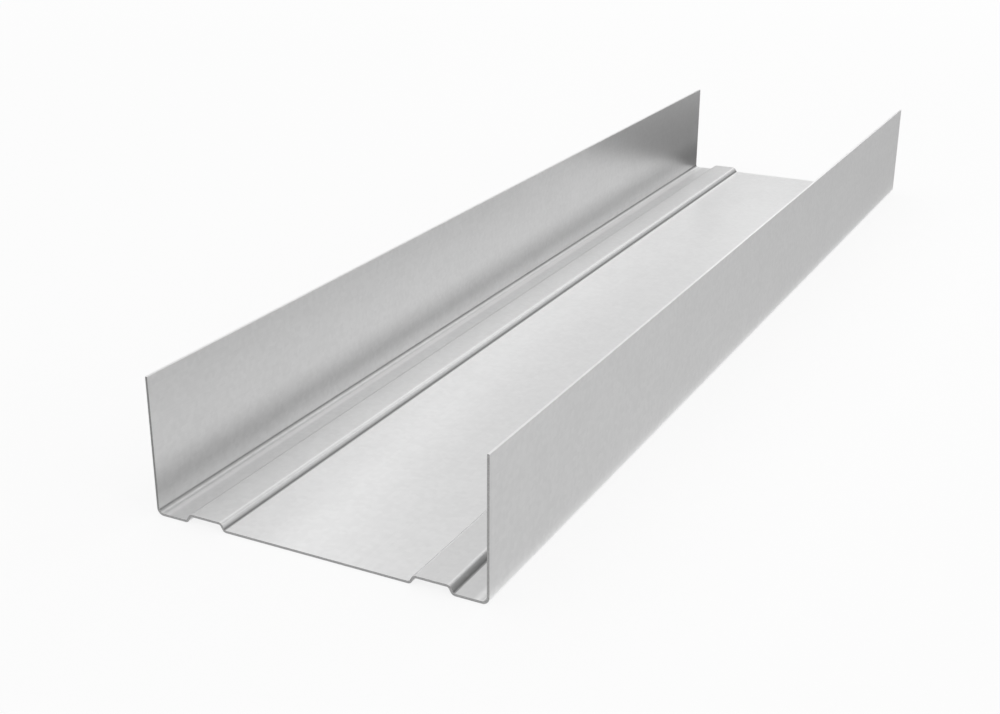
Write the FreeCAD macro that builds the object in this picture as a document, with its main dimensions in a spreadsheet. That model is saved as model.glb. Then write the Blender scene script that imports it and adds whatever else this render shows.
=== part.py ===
import FreeCAD, Part
import math
import os
import Sketcher

# Metal stud track: one strip of galvanised sheet steel, roll formed to a square U.
# Two shallow ribs run along the web, each raised by a small step, or joggle, on
# either side. The legs stand up plain and square, and both ends are sheared square.
# Frame: X across the web, Y along the track, Z up the legs. The origin is on the
# web's underside, in the middle of its width and of its length.

document = FreeCAD.newDocument("stud_track")

# Driving dimensions, in millimetres and degrees
sizes = (
    ("web_width", 100.0, "outside of one leg to outside of the other"),
    ("leg_height", 40.0, "web's underside to the leg's cut edge"),
    ("track_length", 420.0, "sheared end to sheared end"),
    ("sheet_thickness", 0.7, "galvanised sheet"),
    ("corner_inner_radius", 1.3, "inside of the bend between web and leg"),
    ("rib_height", 2.0, "how far a rib stands above the web's flats"),
    ("rib_flat_width", 8.7, "flat top of a rib, between its two bends"),
    ("leg_to_rib_flat", 11.6, "outside of a leg to the near edge of the rib's flat"),
    ("step_angle", 60.0, "slope of the steps beside a rib, from the web"),
    ("step_inner_radius", 0.6, "inside of the bends at a step's top and foot"),
)
sheet = document.addObject("Spreadsheet::Sheet", "Sizes")
for row, (alias, value, meaning) in enumerate(sizes, start=1):
    sheet.set("A%d" % row, alias)
    sheet.set("B%d" % row, str(value))
    sheet.setAlias("B%d" % row, alias)
    sheet.set("C%d" % row, meaning)
document.recompute()

# The straight runs of half a section, from the middle of the web to the top of a leg
CENTRE_FLAT, STEP_UP, RIB, STEP_DOWN, OUTER_FLAT, LEG = range(6)
# The bends between those runs
INNER_FOOT, INNER_TOP, OUTER_TOP, OUTER_FOOT, CORNER = range(5)
# A sketch's own numbers for the points of a line or an arc, and for its X axis
START, END, CENTRE = 1, 2, 3
X_AXIS = -1


def cell(alias):
    """The expression that reads one driving dimension."""
    return "<<Sizes>>." + alias


def origin_plane(body, role):
    """One of the body's own origin planes."""
    for feature in body.Origin.OriginFeatures:
        if feature.Role == role:
            return feature
    raise ValueError("the body has no " + role)


def heading(angle):
    """The unit vector along a run."""
    return FreeCAD.Vector(math.cos(angle), math.sin(angle), 0)


def shift_corner(corner, angle_in, angle_out, distance):
    """Where the sharp corner of two runs lands when both move to their left."""
    left_in = heading(angle_in + math.pi / 2)
    left_out = heading(angle_out + math.pi / 2)
    return corner + (left_in + left_out) * (distance / (1 + left_in.dot(left_out)))


def draw_face(sketch, start, corners, end, angles, radii):
    """Draws one face of the sheet as straight runs joined by tangent bends.

    Returns the sketch's numbers for the runs and for the bends, in order.
    """
    stops = [start]
    arcs = []
    for corner, radius, angle_in, angle_out in zip(corners, radii, angles, angles[1:]):
        turn = angle_out - angle_in
        side = math.copysign(1, turn)
        reach = radius * math.tan(abs(turn) / 2)
        entry = corner - heading(angle_in) * reach
        centre = entry + heading(angle_in + side * math.pi / 2) * radius
        first = angle_in - side * math.pi / 2
        last = first + turn
        circle = Part.Circle(centre, FreeCAD.Vector(0, 0, 1), radius)
        arcs.append(Part.ArcOfCircle(circle, min(first, last), max(first, last)))
        stops += [entry, corner + heading(angle_out) * reach]
    stops.append(end)
    runs = [sketch.addGeometry(Part.LineSegment(tail, head), False)
            for tail, head in zip(stops[0::2], stops[1::2])]
    bends = [sketch.addGeometry(arc, False) for arc in arcs]
    # An arc is drawn anticlockwise, so a bend to the left is entered at its start.
    for place, bend in enumerate(bends):
        turns_left = angles[place + 1] > angles[place]
        entry_point, exit_point = (START, END) if turns_left else (END, START)
        sketch.addConstraint(Sketcher.Constraint("Tangent", runs[place], END, bend, entry_point))
        sketch.addConstraint(Sketcher.Constraint("Tangent", bend, exit_point, runs[place + 1], START))
    return runs, bends


# Half of the section, starting with where its runs would meet if the bends were sharp
half_web = sheet.web_width / 2
leg_height = sheet.leg_height
thickness = sheet.sheet_thickness
rib_height = sheet.rib_height
slope = math.radians(sheet.step_angle)
step_inside = sheet.step_inner_radius
step_outside = step_inside + thickness
corner_inside = sheet.corner_inner_radius
corner_outside = corner_inside + thickness
flat_outer_edge = half_web - sheet.leg_to_rib_flat
flat_inner_edge = flat_outer_edge - sheet.rib_flat_width
bend_reach = step_inside * math.tan(slope / 2)
step_run = rib_height / math.tan(slope)

run_angles = (0, slope, 0, -slope, 0, math.pi / 2)
underside_corners = (
    FreeCAD.Vector(flat_inner_edge - bend_reach - step_run, 0, 0),
    FreeCAD.Vector(flat_inner_edge - bend_reach, rib_height, 0),
    FreeCAD.Vector(flat_outer_edge + bend_reach, rib_height, 0),
    FreeCAD.Vector(flat_outer_edge + bend_reach + step_run, 0, 0),
    FreeCAD.Vector(half_web, 0, 0),
)
inside_corners = [
    shift_corner(corner, angle_in, angle_out, thickness)
    for corner, angle_in, angle_out in zip(underside_corners, run_angles, run_angles[1:])
]
web_middle_under = FreeCAD.Vector(0, 0, 0)
web_middle_top = FreeCAD.Vector(0, thickness, 0)
leg_top_outside = FreeCAD.Vector(half_web, leg_height, 0)
leg_top_inside = FreeCAD.Vector(half_web - thickness, leg_height, 0)

track = document.addObject("PartDesign::Body", "StudTrack")
track.Label = "stud_track"
section = track.newObject("Sketcher::SketchObject", "HalfSection")
section.AttachmentSupport = [(origin_plane(track, "XZ_Plane"), "")]
section.MapMode = "FlatFace"
under, under_bends = draw_face(
    section, web_middle_under, underside_corners, leg_top_outside, run_angles,
    (step_outside, step_inside, step_inside, step_outside, corner_outside),
)
inside, inside_bends = draw_face(
    section, web_middle_top, inside_corners, leg_top_inside, run_angles,
    (step_inside, step_outside, step_outside, step_inside, corner_inside),
)
cut_edge = section.addGeometry(Part.LineSegment(leg_top_outside, leg_top_inside), False)
web_middle = section.addGeometry(Part.LineSegment(web_middle_top, web_middle_under), False)

relations = [
    ("Coincident", under[LEG], END, cut_edge, START),
    ("Coincident", cut_edge, END, inside[LEG], END),
    ("Coincident", inside[CENTRE_FLAT], START, web_middle, START),
    ("Coincident", web_middle, END, under[CENTRE_FLAT], START),
    ("Coincident", under[CENTRE_FLAT], START, X_AXIS, START),
    ("Horizontal", under[CENTRE_FLAT]),
    ("Horizontal", under[RIB]),
    ("Horizontal", under[OUTER_FLAT]),
    ("Horizontal", inside[CENTRE_FLAT]),
    ("Horizontal", cut_edge),
    ("Vertical", under[LEG]),
    ("Vertical", inside[LEG]),
    ("Vertical", web_middle),
    ("PointOnObject", under[OUTER_FLAT], START, X_AXIS),
]
# The sheet keeps its thickness round a bend, so its two faces share the bend's centre.
for under_bend, inside_bend in zip(under_bends, inside_bends):
    relations.append(("Coincident", under_bend, CENTRE, inside_bend, CENTRE))
# All the bends of the steps are alike.
for same_inside in (under_bends[OUTER_TOP], inside_bends[INNER_FOOT], inside_bends[OUTER_FOOT]):
    relations.append(("Equal", under_bends[INNER_TOP], same_inside))
for same_outside in (under_bends[OUTER_FOOT], inside_bends[INNER_TOP], inside_bends[OUTER_TOP]):
    relations.append(("Equal", under_bends[INNER_FOOT], same_outside))
for relation in relations:
    section.addConstraint(Sketcher.Constraint(*relation))

# Each dimension: its name, its constraint with the value it starts from, and what drives it
dimensions = (
    ("half_web", ("DistanceX", X_AXIS, START, under[LEG], END, half_web), cell("web_width") + " / 2"),
    ("leg_height", ("DistanceY", X_AXIS, START, under[LEG], END, leg_height), cell("leg_height")),
    ("rib_height", ("DistanceY", X_AXIS, START, under[RIB], START, rib_height), cell("rib_height")),
    ("rib_flat",
     ("DistanceX", under_bends[INNER_TOP], CENTRE, under_bends[OUTER_TOP], CENTRE, sheet.rib_flat_width),
     cell("rib_flat_width")),
    ("leg_to_rib",
     ("DistanceX", under_bends[OUTER_TOP], CENTRE, under[LEG], END, sheet.leg_to_rib_flat),
     cell("leg_to_rib_flat")),
    ("step_up", ("Angle", under[STEP_UP], slope), cell("step_angle")),
    ("step_down", ("Angle", under[STEP_DOWN], -slope), "-" + cell("step_angle")),
    ("step_inside", ("Radius", under_bends[INNER_TOP], step_inside), cell("step_inner_radius")),
    ("step_outside", ("Radius", under_bends[INNER_FOOT], step_outside),
     cell("step_inner_radius") + " + " + cell("sheet_thickness")),
    ("corner_inside", ("Radius", inside_bends[CORNER], corner_inside), cell("corner_inner_radius")),
    ("corner_outside", ("Radius", under_bends[CORNER], corner_outside),
     cell("corner_inner_radius") + " + " + cell("sheet_thickness")),
)
for name, constraint, driver in dimensions:
    number = section.addConstraint(Sketcher.Constraint(*constraint))
    section.renameConstraint(number, name)
    section.setExpression("Constraints." + name, driver)

# The half section drawn out to the track's length, between its two sheared ends
rolled_half = track.newObject("PartDesign::Pad", "RolledHalf")
rolled_half.Profile = section
rolled_half.SideType = "Symmetric"
rolled_half.setExpression("Length", cell("track_length"))
document.recompute()

# Both halves of the web and both legs are one strip, with no seam down the middle.
both_halves = track.newObject("PartDesign::Mirrored", "BothHalves")
both_halves.Originals = [rolled_half]
both_halves.MirrorPlane = (origin_plane(track, "YZ_Plane"), [""])
both_halves.Refine = True
track.Tip = both_halves
track.Placement = FreeCAD.Placement()
document.recompute()

# Nothing is written unless the whole document is sound.
for item in document.Objects:
    if "Invalid" in item.State or "Error" in item.State:
        raise RuntimeError(item.Label + " failed to build")
if not section.FullyConstrained:
    raise RuntimeError("the section is not fully constrained")
if track.Shape.isNull() or not track.Shape.isValid() or len(track.Shape.Solids) != 1:
    raise RuntimeError("the track is not one valid solid")

os.makedirs("parts", exist_ok=True)
track.Shape.exportStep(os.path.join("parts", track.Label + ".step"))
print("%s: volume %.1f mm3, faces %d" % (track.Label, track.Shape.Volume, len(track.Shape.Faces)))
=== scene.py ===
import math
import bpy
from mathutils import Matrix, Vector


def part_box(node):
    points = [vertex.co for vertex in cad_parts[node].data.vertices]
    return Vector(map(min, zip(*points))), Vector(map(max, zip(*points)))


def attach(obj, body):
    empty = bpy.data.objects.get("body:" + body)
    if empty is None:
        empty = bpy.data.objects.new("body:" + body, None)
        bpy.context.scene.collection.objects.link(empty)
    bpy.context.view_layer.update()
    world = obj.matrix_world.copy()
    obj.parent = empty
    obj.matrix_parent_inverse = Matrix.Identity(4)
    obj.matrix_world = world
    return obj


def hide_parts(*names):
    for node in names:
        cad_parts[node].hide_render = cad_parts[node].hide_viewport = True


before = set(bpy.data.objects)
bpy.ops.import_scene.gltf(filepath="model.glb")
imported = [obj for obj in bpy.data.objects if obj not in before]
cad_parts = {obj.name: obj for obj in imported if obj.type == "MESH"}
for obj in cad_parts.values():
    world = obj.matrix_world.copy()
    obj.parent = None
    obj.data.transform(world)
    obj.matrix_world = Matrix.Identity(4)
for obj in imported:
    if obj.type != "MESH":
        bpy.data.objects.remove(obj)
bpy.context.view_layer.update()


# Roll-formed track
# One strip of hot-dip galvanised steel, 0.7 mm thick, bent by rolls into a square U with
# two shallow ribs along its web, then sheared to length. Nothing is fixed to it.

MM = 0.001
TOLERANCE = 0.01 * MM
SHEET_THICKNESS = 0.7 * MM
CORNER_INNER_RADIUS = 1.3 * MM
RIB_HEIGHT = 2.0 * MM
RIB_FLAT_WIDTH = 8.7 * MM
LEG_TO_RIB_FLAT = 11.6 * MM
STEP_ANGLE = math.radians(60)
STEP_INNER_RADIUS = 0.6 * MM
STEP_FACETS = 8
CORNER_FACETS = 12
EDGE_ROUNDING = 0.05 * MM
EDGE_FACETS = 2
CUT_EDGE_ANGLE = math.radians(60)
SMOOTH_BELOW = math.radians(35)

low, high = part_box("stud_track")
half_web = high.x
half_length = high.y
leg_height = high.z

# The strip is laid out along its middle layer, half a thickness from either face.
middle = SHEET_THICKNESS / 2
step_radius = STEP_INNER_RADIUS + middle
corner_radius = CORNER_INNER_RADIUS + middle
step_reach = step_radius * math.tan(STEP_ANGLE / 2)
step_run = RIB_HEIGHT / math.tan(STEP_ANGLE)
rib_outer_edge = half_web - LEG_TO_RIB_FLAT + step_reach
rib_inner_edge = half_web - LEG_TO_RIB_FLAT - RIB_FLAT_WIDTH - step_reach
rib_middle = (rib_inner_edge + rib_outer_edge) / 2

web_level = middle
rib_level = middle + RIB_HEIGHT
# Where the runs of half a section would meet if the bends were sharp, from the web's middle outwards
fold_corners = (
    (rib_inner_edge - step_run, web_level),
    (rib_inner_edge, rib_level),
    (rib_outer_edge, rib_level),
    (rib_outer_edge + step_run, web_level),
    (half_web - middle, web_level),
    (half_web - middle, leg_height),
)


def near(value, target):
    """True where two lengths are alike."""
    return abs(value - target) < TOLERANCE


def select_edges(piece, wanted):
    """Selects the edges whose two ends both pass the test, and nothing else."""
    mesh = piece.data
    for face in mesh.polygons:
        face.select = False
    for vertex in mesh.vertices:
        vertex.select = False
    for edge in mesh.edges:
        edge.select = all(wanted(mesh.vertices[number].co) for number in edge.vertices)
        if edge.select:
            for number in edge.vertices:
                mesh.vertices[number].select = True


def apply_modifier(piece, name, kind, **settings):
    """Adds a modifier with its settings and applies it."""
    modifier = piece.modifiers.new(name, kind)
    for setting, value in settings.items():
        setattr(modifier, setting, value)
    bpy.ops.object.modifier_apply(modifier=modifier.name)


bpy.ops.object.select_all(action="DESELECT")
bpy.ops.mesh.primitive_plane_add(size=1, location=(0, 0, web_level))
track = bpy.context.object
track.name = "roll_formed_track"
track.scale = (2 * fold_corners[0][0], 2 * half_length, 1)
bpy.ops.object.transform_apply(location=True, rotation=True, scale=True)
bpy.ops.object.mode_set(mode="EDIT")
bpy.ops.mesh.select_mode(type="EDGE")
# Each run of the section is drawn out from the one before it, to the left and to the right.
for side in (-1, 1):
    for (x, z), (next_x, next_z) in zip(fold_corners, fold_corners[1:]):
        bpy.ops.object.mode_set(mode="OBJECT")
        select_edges(track, lambda place: near(place.x, side * x) and near(place.z, z))
        bpy.ops.object.mode_set(mode="EDIT")
        bpy.ops.mesh.extrude_region_move(
            TRANSFORM_OT_translate={"value": (side * (next_x - x), 0, next_z - z)}
        )
bends = (
    (fold_corners[:4], step_reach, STEP_FACETS),
    (fold_corners[4:5], corner_radius, CORNER_FACETS),
)
for corners, reach, facets in bends:
    bpy.ops.object.mode_set(mode="OBJECT")
    select_edges(track, lambda place: any(near(abs(place.x), x) and near(place.z, z) for x, z in corners))
    bpy.ops.object.mode_set(mode="EDIT")
    bpy.ops.mesh.bevel(offset_type="OFFSET", offset=reach, segments=facets, profile=0.5)
bpy.ops.mesh.select_all(action="SELECT")
bpy.ops.mesh.normals_make_consistent(inside=False)
bpy.ops.object.mode_set(mode="OBJECT")

apply_modifier(track, "sheet", "SOLIDIFY", thickness=SHEET_THICKNESS, offset=0, use_even_offset=True)

# The shears and the slitter leave the strip's cut corners very slightly rolled over.
apply_modifier(track, "cut_corners", "BEVEL", width=EDGE_ROUNDING, segments=EDGE_FACETS,
               limit_method="ANGLE", angle_limit=CUT_EDGE_ANGLE)
bpy.ops.object.shade_smooth_by_angle(angle=SMOOTH_BELOW)
# The wide flats keep their own normals, so that only the bends are shaded round.
apply_modifier(track, "flat_runs", "WEIGHTED_NORMAL", keep_sharp=True)

# Painted light and shade on the zinc is one number: 0 is plain, 1 is a painted highlight and -1 is
# painted shade. On the upper side, the flats have one value in the left half and one in the right
# half, lighter or darker as the light falls. A step takes it over from the flat it starts at and
# changes it round the bends. The factors and powers in the functions below set how far round a bend each
# change comes.
WEB_PAINTED_LIGHT = (0.9, 0.0)
RIB_PAINTED_LIGHT = (0.25, -0.15)
GUTTER_PAINTED_LIGHT = (0.45, -0.25)
BEND_HIGHLIGHT = 0.9
SLIT_EDGE_HIGHLIGHT = 1.0
OUTER_CORNER_HIGHLIGHT = 0.5
INNER_CORNER_SHADE = 0.8
INNER_HOLLOW_SHADE = 1.0
OUTER_HOLLOW_SHADE = 0.8
CREST_HIGHLIGHT = 0.6
CREST_SHADE = 0.38
HOLLOW_SHARE = 0.4
LEG_FOOT = 3 * MM
corner_start = half_web - CORNER_INNER_RADIUS - SHEET_THICKNESS - TOLERANCE


def swell(share):
    """Rises from nought to one halfway and falls back to nought at one."""
    return math.sin(math.pi * share)


def ease_in(share):
    """Rises from nought to one, quickly at first, and stays there."""
    return math.sin(math.pi / 2 * min(1.0, share))


def corner_painted_light(place, normal, tilt):
    """The painted light and shade of a leg and of the bend at its foot."""
    share = tilt / math.radians(90)
    faces_up = normal.z > 0.5
    faces_inwards = normal.x * place.x < 0
    # The outside of the corner bend gets a painted highlight.
    if not (faces_inwards or faces_up):
        return OUTER_CORNER_HIGHLIGHT * swell(share)
    # Above the foot, the leg's cut top edge gets a painted highlight and its faces stay plain.
    if place.z > LEG_FOOT:
        return SLIT_EDGE_HIGHLIGHT if faces_up else 0.0
    # The inside foot of a leg gets a painted highlight where it leaves the web and painted shade round the
    # crease.
    return BEND_HIGHLIGHT * max(0.0, 1 - 5 * share) - INNER_CORNER_SHADE * swell(share ** 2.2)


def step_painted_light(place, normal, tilt):
    """The painted light and shade of the web, the ribs, the gutters beside the legs and the steps between
    them.
    """
    share = min(1.0, tilt / STEP_ANGLE)
    upper_side = normal.z > 0
    right_half = place.x > 0
    inner_step = abs(place.x) < rib_middle
    if upper_side:
        in_hollow = (place.z - SHEET_THICKNESS) / RIB_HEIGHT < HOLLOW_SHARE
    else:
        in_hollow = 1 - place.z / RIB_HEIGHT < HOLLOW_SHARE
    # The flats' painted light differs between the left and the right half.
    flat = 0.0
    if upper_side and not in_hollow:
        flat = RIB_PAINTED_LIGHT[right_half]
    elif upper_side and inner_step:
        flat = WEB_PAINTED_LIGHT[right_half]
    elif upper_side:
        flat = GUTTER_PAINTED_LIGHT[right_half]
    # The steps that face left get a painted highlight all over.
    if upper_side and inner_step == right_half:
        return flat + (BEND_HIGHLIGHT - flat) * min(1.0, 4 * share)
    # The hollows at the foot of each step get painted shade.
    if in_hollow and inner_step:
        return flat * (1 - share) ** 2.5 - INNER_HOLLOW_SHADE * ease_in(1.5 * share)
    if in_hollow:
        return flat * (1 - share) ** 2.5 - OUTER_HOLLOW_SHADE * ease_in(3 * share)
    # An inner step's crest gets painted shade on the way round and a painted highlight where it meets the
    # slope.
    if inner_step:
        return flat * (1 - share) + CREST_HIGHLIGHT * share ** 6 - CREST_SHADE * swell(share ** 1.5)
    return flat


def bend_finish(place, normal):
    """The painted light and shade at one point of the track, from where it is and which way it faces."""
    tilt = math.acos(min(1.0, abs(normal.z)))
    if abs(place.x) > corner_start:
        return corner_painted_light(place, normal, tilt)
    return step_painted_light(place, normal, tilt)


# Each point of the track keeps its painted light and shade in an attribute.
painted_light_layer = track.data.attributes.new("bend_finish", "FLOAT", "POINT")
painted_light_values = [bend_finish(vertex.co, vertex.normal) for vertex in track.data.vertices]
painted_light_layer.data.foreach_set("value", painted_light_values)


def linear(hex_colour):
    """An sRGB hex colour as the linear colour that the shader takes."""
    channels = [int(hex_colour[place:place + 2], 16) / 255 for place in (1, 3, 5)]
    return [c / 12.92 if c <= 0.04045 else ((c + 0.055) / 1.055) ** 2.4 for c in channels] + [1.0]


def add_node(material, kind, settings=(), **sockets):
    """Adds a node, sets its properties, and sets or links its inputs by their identifiers."""
    node = material.node_tree.nodes.new(kind)
    for name, value in dict(settings).items():
        setattr(node, name, value)
    for name, value in sockets.items():
        socket = next(entry for entry in node.inputs if entry.identifier.replace(" ", "_") == name)
        if isinstance(value, bpy.types.NodeSocket):
            material.node_tree.links.new(value, socket)
        else:
            socket.default_value = value
    return node


# Hot-dip zinc, skin passed and passivated: a pale satin metal under a faint milky film.
# IOR, metallic and roughness start from typical values for galvanised sheet and are then
# matched to the object. The film is the share that isn't metallic.
ZINC_COLOUR = "#e6e6e6"
# The colours of painted shade and of painted highlights, either side of the plain zinc colour
SHADE_COLOUR = "#868686"
HIGHLIGHT_COLOUR = "#f8f8f8"
ZINC_METALLIC = 0.7
# Where highlights are painted the zinc is smoother and where shade is painted it is rougher. The
# denoiser speckles metal whose roughness passes through 0.274, so all of it stays above that.
BRIGHT_ROUGHNESS = 0.285
DULL_ROUGHNESS = 0.33
SPANGLE_ROUGHNESS = 0.3
galvanised = bpy.data.materials.new("hot_dip_galvanised_steel")
galvanised.use_nodes = True
shader = galvanised.node_tree.nodes["Principled BSDF"]
shader.inputs["Metallic"].default_value = ZINC_METALLIC
object_space = add_node(galvanised, "ShaderNodeTexCoord").outputs["Object"]

# Faint streaks from the mill's rolls. Real ones are hair fine, so these are drawn coarser,
# about 0.6 mm across and 60 mm long.
STREAK_WIDTH = 0.625 * MM
STREAK_LENGTH = 62.5 * MM
STREAK_DEPTH = 0.02
streak_space = add_node(galvanised, "ShaderNodeMapping", Vector=object_space,
                        Scale=(1 / STREAK_WIDTH, 1 / STREAK_LENGTH, 1 / STREAK_WIDTH))
streaks = add_node(galvanised, "ShaderNodeTexNoise", Vector=streak_space.outputs[0], Scale=1.0, Detail=2.0)
streak_part = add_node(galvanised, "ShaderNodeMapRange", Value=streaks.outputs["Fac"],
                       To_Min=-STREAK_DEPTH, To_Max=STREAK_DEPTH)
# Minimised spangle: zinc crystals of about 1.4 mm, each a touch lighter or duller than the next
SPANGLE_SIZE = MM / 0.7
SPANGLE_DEPTH = 0.025
spangle = add_node(galvanised, "ShaderNodeTexVoronoi", {"feature": "SMOOTH_F1"}, Vector=object_space,
                   Scale=1 / SPANGLE_SIZE, Smoothness=0.6)
spangle_shade = add_node(galvanised, "ShaderNodeSeparateColor", Color=spangle.outputs["Color"])
spangle_part = add_node(galvanised, "ShaderNodeMapRange", Value=spangle_shade.outputs["Red"],
                        To_Min=-SPANGLE_DEPTH, To_Max=SPANGLE_DEPTH)
# Cloudy patches of about 20 mm, where the zinc set a little faster or slower
CLOUD_SIZE = 20 * MM
CLOUD_DEPTH = 0.03
clouds = add_node(galvanised, "ShaderNodeTexNoise", Vector=object_space, Scale=1 / CLOUD_SIZE, Detail=3.0)
cloud_part = add_node(galvanised, "ShaderNodeMapRange", Value=clouds.outputs["Fac"],
                      To_Min=-CLOUD_DEPTH, To_Max=CLOUD_DEPTH)
fine_part = add_node(galvanised, "ShaderNodeMath", {"operation": "ADD"},
                     Value=streak_part.outputs[0], Value_001=spangle_part.outputs[0])
uneven = add_node(galvanised, "ShaderNodeMath", {"operation": "ADD"},
                  Value=fine_part.outputs[0], Value_001=cloud_part.outputs[0])
# A soft band of painted shade along the inside of each leg, darkest about 8 mm up.
BAND_START = 2 * MM
BAND_END = 18 * MM
BAND_PEAK = 0.35
BAND_AT_START = 0.75
LEG_SHADE_DEPTH = 0.26
LEG_FACE_MARGIN = 0.1 * MM
place_parts = add_node(galvanised, "ShaderNodeSeparateXYZ", Vector=object_space)
across = add_node(galvanised, "ShaderNodeMath", {"operation": "ABSOLUTE"}, Value=place_parts.outputs["X"])
on_leg_inside = add_node(galvanised, "ShaderNodeMath", {"operation": "COMPARE"}, Value=across.outputs[0],
                         Value_001=half_web - SHEET_THICKNESS, Value_002=LEG_FACE_MARGIN)
band_place = add_node(galvanised, "ShaderNodeMapRange", Value=place_parts.outputs["Z"],
                      From_Min=BAND_START, From_Max=BAND_END)
band_ramp = add_node(galvanised, "ShaderNodeValToRGB", Fac=band_place.outputs[0])
band_ramp.color_ramp.interpolation = "EASE"
band_ramp.color_ramp.elements[0].color = (BAND_AT_START, BAND_AT_START, BAND_AT_START, 1)
band_ramp.color_ramp.elements[1].color = (0, 0, 0, 1)
band_ramp.color_ramp.elements.new(BAND_PEAK).color = (1, 1, 1, 1)
leg_shade_shape = add_node(galvanised, "ShaderNodeMath", {"operation": "MULTIPLY"},
                      Value=band_ramp.outputs["Color"], Value_001=on_leg_inside.outputs[0])
# A thin painted highlight runs along the web beside each corner bend.
LINE_START = 45.2 * MM
LINE_END = 48.4 * MM
LINE_HIGHLIGHT = 0.23
line_place = add_node(galvanised, "ShaderNodeMapRange", Value=across.outputs[0],
                      From_Min=LINE_START, From_Max=LINE_END)
highlight_ramp = add_node(galvanised, "ShaderNodeValToRGB", Fac=line_place.outputs[0])
highlight_ramp.color_ramp.interpolation = "EASE"
highlight_ramp.color_ramp.elements[0].color = (0, 0, 0, 1)
highlight_ramp.color_ramp.elements[1].color = (0, 0, 0, 1)
highlight_ramp.color_ramp.elements.new(0.5).color = (1, 1, 1, 1)
with_highlight = add_node(galvanised, "ShaderNodeMath", {"operation": "MULTIPLY_ADD"},
                     Value=highlight_ramp.outputs["Color"], Value_001=LINE_HIGHLIGHT, Value_002=1.0)
with_leg_shade = add_node(galvanised, "ShaderNodeMath", {"operation": "MULTIPLY_ADD"},
                     Value=leg_shade_shape.outputs[0], Value_001=-LEG_SHADE_DEPTH, Value_002=with_highlight.outputs[0])
brightness = add_node(galvanised, "ShaderNodeMath", {"operation": "ADD"},
                      Value=uneven.outputs[0], Value_001=with_leg_shade.outputs[0])

# Painted shade darkens the zinc in the hollows of the bends and painted highlights lighten it on crests and
# edges; the same value sets the roughness.
painted_light_value = add_node(galvanised, "ShaderNodeAttribute", {"attribute_name": "bend_finish"}).outputs["Fac"]
painted_light_place = add_node(galvanised, "ShaderNodeMapRange", Value=painted_light_value, From_Min=-1.0, From_Max=1.0)
painted_light_ramp = add_node(galvanised, "ShaderNodeValToRGB", Fac=painted_light_place.outputs[0])
painted_light_ramp.color_ramp.elements[0].color = linear(SHADE_COLOUR)
painted_light_ramp.color_ramp.elements[1].color = linear(HIGHLIGHT_COLOUR)
painted_light_ramp.color_ramp.elements.new(0.5).color = linear(ZINC_COLOUR)
colour = add_node(galvanised, "ShaderNodeVectorMath", {"operation": "SCALE"},
                  Vector=painted_light_ramp.outputs["Color"], Scale=brightness.outputs[0])
galvanised.node_tree.links.new(colour.outputs[0], shader.inputs["Base Color"])
roughness_by_painted_light = add_node(galvanised, "ShaderNodeMapRange", Value=painted_light_value, From_Min=-1.0, From_Max=1.0,
                            To_Min=DULL_ROUGHNESS, To_Max=BRIGHT_ROUGHNESS)
roughness = add_node(galvanised, "ShaderNodeMath", {"operation": "MULTIPLY_ADD"},
                     Value=spangle_part.outputs[0], Value_001=-SPANGLE_ROUGHNESS,
                     Value_002=roughness_by_painted_light.outputs[0])
galvanised.node_tree.links.new(roughness.outputs[0], shader.inputs["Roughness"])

# The sheet's slight waviness, a few thousandths of a millimetre over 4 mm, mottles what it mirrors.
WAVE_LENGTH = 4 * MM
WAVE_HEIGHT = 0.006 * MM
waviness = add_node(galvanised, "ShaderNodeTexNoise", Vector=object_space, Scale=1 / WAVE_LENGTH, Detail=1.0)
ripple = add_node(galvanised, "ShaderNodeBump", Strength=1.0, Distance=WAVE_HEIGHT,
                  Height=waviness.outputs["Fac"])
galvanised.node_tree.links.new(ripple.outputs[0], shader.inputs["Normal"])
track.data.materials.append(galvanised)

# Bare sheared steel: grey, grainy and rougher than the zinc. It shows at both ends, where the
# strip was cut to length. Its grain is drawn at 0.3 mm, coarser than the real one, to show at all.
GRAIN_SIZE = MM / 3.3
GRAIN_DARK = "#8c8c8c"
GRAIN_LIGHT = "#b4b4b4"
SHEARED_METALLIC = 0.9
SHEARED_ROUGHNESS = (0.6, 0.4)
sheared = bpy.data.materials.new("sheared_steel_edge")
sheared.use_nodes = True
sheared_shader = sheared.node_tree.nodes["Principled BSDF"]
sheared_shader.inputs["Metallic"].default_value = SHEARED_METALLIC
sheared_space = add_node(sheared, "ShaderNodeTexCoord").outputs["Object"]
grain = add_node(sheared, "ShaderNodeTexNoise", Vector=sheared_space, Scale=1 / GRAIN_SIZE, Detail=2.0)
grain_ramp = add_node(sheared, "ShaderNodeValToRGB", Fac=grain.outputs["Fac"])
grain_ramp.color_ramp.elements[0].color = linear(GRAIN_DARK)
grain_ramp.color_ramp.elements[0].position = 0.3
grain_ramp.color_ramp.elements[1].color = linear(GRAIN_LIGHT)
grain_ramp.color_ramp.elements[1].position = 0.7
sheared.node_tree.links.new(grain_ramp.outputs["Color"], sheared_shader.inputs["Base Color"])
grain_roughness = add_node(sheared, "ShaderNodeMapRange", Value=grain.outputs["Fac"],
                           To_Min=SHEARED_ROUGHNESS[0], To_Max=SHEARED_ROUGHNESS[1])
sheared.node_tree.links.new(grain_roughness.outputs[0], sheared_shader.inputs["Roughness"])
track.data.materials.append(sheared)
for face in track.data.polygons:
    faces_along_track = abs(face.normal.y) > 0.9
    face.material_index = 1 if faces_along_track else 0

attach(track, "root")
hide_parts("stud_track")


# Floor and light
# A white studio floor with a low round backdrop, an even soft ceiling and soft boxes ahead and to
# the right, in a grey surround. Glowing grey cards on the floor, seen only in the steel's reflections, are
# painted shade for it to mirror.

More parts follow.
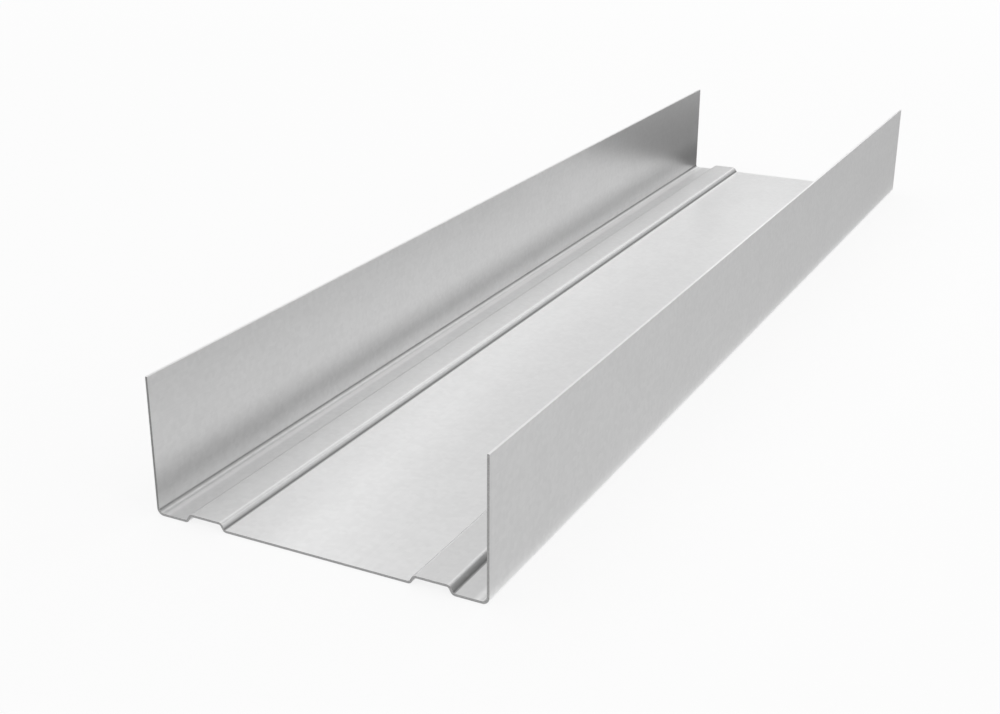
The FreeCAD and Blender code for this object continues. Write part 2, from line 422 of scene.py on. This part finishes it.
FLOOR_SIZE = 40.0
BACKDROP_RADIUS = 0.49 * FLOOR_SIZE
BACKDROP_HEIGHT = 5.0
BACKDROP_FACETS = 96
SURROUND_LEVEL = 0.32
# The share of plain white in the floor by the track, and the distances over which it grows to one
FLOOR_LIFT = 0.8
LIFT_START = 0.4
LIFT_END = 2.0

bpy.ops.mesh.primitive_plane_add(size=FLOOR_SIZE, location=(0, 0, 0))
floor = bpy.context.object
floor.name = "studio_floor"
# Matt white paint. Seen directly or in the steel, most of it is plain white, so that the
# floor shows as a white background with a very light shadow on it.
floor_paint = bpy.data.materials.new("matt_white_floor")
floor_paint.use_nodes = True
floor_shader = floor_paint.node_tree.nodes["Principled BSDF"]
floor_shader.inputs["Base Color"].default_value = (1, 1, 1, 1)
floor_shader.inputs["Roughness"].default_value = 1.0
floor_shader.inputs["Specular IOR Level"].default_value = 0.0
floor_output = floor_paint.node_tree.nodes["Material Output"]

# One for rays from the camera, from a mirror-like surface or through a clear one, else nought
ray = add_node(floor_paint, "ShaderNodeLightPath")
camera_or_mirror = add_node(floor_paint, "ShaderNodeMath", {"operation": "ADD"},
                            Value=ray.outputs["Is Camera Ray"], Value_001=ray.outputs["Is Glossy Ray"])
seen_directly = add_node(floor_paint, "ShaderNodeMath", {"operation": "ADD", "use_clamp": True},
                         Value=camera_or_mirror.outputs[0], Value_001=ray.outputs["Is Transmission Ray"])

# The lamps reach only the middle of the floor, so farther out all of it is plain white.
floor_space = add_node(floor_paint, "ShaderNodeTexCoord").outputs["Object"]
floor_distance = add_node(floor_paint, "ShaderNodeVectorMath", {"operation": "LENGTH"}, Vector=floor_space)
plain_share = add_node(floor_paint, "ShaderNodeMapRange", {"interpolation_type": "SMOOTHSTEP"},
                       Value=floor_distance.outputs["Value"], From_Min=LIFT_START, From_Max=LIFT_END,
                       To_Min=FLOOR_LIFT, To_Max=1.0)
lift = add_node(floor_paint, "ShaderNodeMath", {"operation": "MULTIPLY"},
                Value=seen_directly.outputs[0], Value_001=plain_share.outputs[0])
plain_white = add_node(floor_paint, "ShaderNodeEmission", Color=(1, 1, 1, 1), Strength=1.0)
floor_mix = add_node(floor_paint, "ShaderNodeMixShader", Fac=lift.outputs[0],
                     Shader=floor_shader.outputs[0], Shader_001=plain_white.outputs[0])
floor_paint.node_tree.links.new(floor_mix.outputs[0], floor_output.inputs["Surface"])
floor_paint.cycles.emission_sampling = "NONE"
floor.data.materials.append(floor_paint)

# A low round backdrop in the same paint closes the floor off against the darker surround.
bpy.ops.mesh.primitive_cylinder_add(vertices=BACKDROP_FACETS, radius=BACKDROP_RADIUS,
                                    depth=2 * BACKDROP_HEIGHT, end_fill_type="NOTHING",
                                    location=(0, 0, 0))
backdrop = bpy.context.object
backdrop.name = "studio_backdrop"
backdrop.data.materials.append(floor_paint)
backdrop.visible_diffuse = False
backdrop.visible_shadow = False

LEVEL = (0, 0, 0)
UPRIGHT = (math.radians(90), 0, 0)


def reflector_card(name, place, turn, width, length, near_grey, far_grey):
    """Adds a flat card, graded along Y, that only the steel's reflections see. Lengths are in mm."""
    bpy.ops.mesh.primitive_plane_add(size=1, location=Vector(place) * MM, rotation=turn)
    card = bpy.context.object
    card.name = name
    card.scale = (width * MM, length * MM, 1)
    bpy.ops.object.transform_apply(location=True, rotation=True, scale=True)
    paint = bpy.data.materials.new(name + "_paint")
    paint.use_nodes = True
    space = add_node(paint, "ShaderNodeTexCoord")
    along = add_node(paint, "ShaderNodeSeparateXYZ", Vector=space.outputs["Object"])
    grey = add_node(paint, "ShaderNodeMapRange", Value=along.outputs["Y"],
                    From_Min=(place[1] - length / 2) * MM, From_Max=(place[1] + length / 2) * MM,
                    To_Min=near_grey, To_Max=far_grey)
    glow = add_node(paint, "ShaderNodeEmission", Color=(1, 1, 1, 1), Strength=grey.outputs[0])
    paint.node_tree.links.new(glow.outputs[0], paint.node_tree.nodes["Material Output"].inputs["Surface"])
    paint.cycles.emission_sampling = "NONE"
    card.data.materials.append(paint)
    card.visible_camera = False
    card.visible_diffuse = False
    card.visible_shadow = False


# The two side cards are painted shade that the outsides of the legs mirror, and the end card is
# painted shade that the far end of their insides mirrors.
reflector_card("side_card", (152, 100, 0.2), LEVEL, 200, 800, 0.64, 0.43)
reflector_card("left_card", (-152, 0, 0.2), LEVEL, 200, 800, 0.5, 0.5)
reflector_card("end_card", (0, 330, 0.2), LEVEL, 100, 236, 0.107, 0.107)
# The flag keeps the white backdrop out of what the web and the steps mirror at a low angle.
reflector_card("far_flag", (0, 1500, 200), UPRIGHT, 5000, 400, SURROUND_LEVEL, SURROUND_LEVEL)


def even_lamp(name, place, turn, width, height, radiance):
    """A flat rectangular lamp of one brightness, hidden from the camera. Lengths are in metres."""
    data = bpy.data.lights.new(name, "AREA")
    data.shape = "RECTANGLE"
    data.size = width
    data.size_y = height
    data.energy = radiance * math.pi * width * height
    lamp = bpy.data.objects.new(name, data)
    lamp.location = place
    lamp.rotation_euler = turn
    lamp.visible_camera = False
    bpy.context.scene.collection.objects.link(lamp)


def soft_box(name, azimuth, elevation, distance, width, height, radiance):
    """A lamp that faces the track. Azimuth runs from +Y towards +X, in degrees."""
    turn = math.radians(azimuth)
    rise = math.radians(elevation)
    direction = Vector((math.sin(turn) * math.cos(rise), math.cos(turn) * math.cos(rise), math.sin(rise)))
    place = direction * distance
    even_lamp(name, place, (-place).to_track_quat("-Z", "Y").to_euler(), width, height, radiance)


# The ceiling's level and the surround's add up to one, so that steel seen from above doesn't clip
# to white. The ceiling's far right corner stays open.
CEILING_HEIGHT = 1.6
CEILING_LEVEL = 0.68
even_lamp("ceiling_lamp", (0, -0.75, CEILING_HEIGHT), LEVEL, 4.5, 3.0, CEILING_LEVEL)
even_lamp("far_ceiling_lamp", (-0.75, 1.5, CEILING_HEIGHT), LEVEL, 3.0, 1.5, CEILING_LEVEL)
soft_box("side_lamp", 90, 20, 2.2, 2.0, 1.0, 0.7)
soft_box("front_lamp", 22, 20, 2.4, 3.6, 0.95, 0.86)
soft_box("front_upper_lamp", 10, 36, 2.2, 2.4, 0.6, 0.57)
soft_box("left_window", -26, 26, 2.2, 1.4, 0.8, 0.25)

world = bpy.data.worlds.new("studio")
world.use_nodes = True
background = world.node_tree.nodes["Background"]
background.inputs["Color"].default_value = (1, 1, 1, 1)
background.inputs["Strength"].default_value = SURROUND_LEVEL
bpy.context.scene.world = world


# Camera
# It stands to the right of the near end and looks along the channel and down into it.

CAMERA_PLACE = Vector((186.85, -474.80, 183.37)) * MM
CAMERA_YAW = math.radians(26.898)
CAMERA_PITCH = math.radians(21.823)
CAMERA_ROLL = math.radians(0.282)
SENSOR_WIDTH = 36.0
LENS = 52.0

camera_data = bpy.data.cameras.new("camera")
camera_data.sensor_width = SENSOR_WIDTH
camera_data.lens = LENS
camera_data.clip_start = 0.01
camera = bpy.data.objects.new("camera", camera_data)
bpy.context.scene.collection.objects.link(camera)
camera.matrix_world = (
    Matrix.Translation(CAMERA_PLACE)
    @ Matrix.Rotation(CAMERA_YAW, 4, "Z")
    @ Matrix.Rotation(math.pi / 2 - CAMERA_PITCH, 4, "X")
    @ Matrix.Rotation(CAMERA_ROLL, 4, "Z")
)
bpy.context.scene.camera = camera
bpy.context.scene.view_settings.view_transform = "Standard"
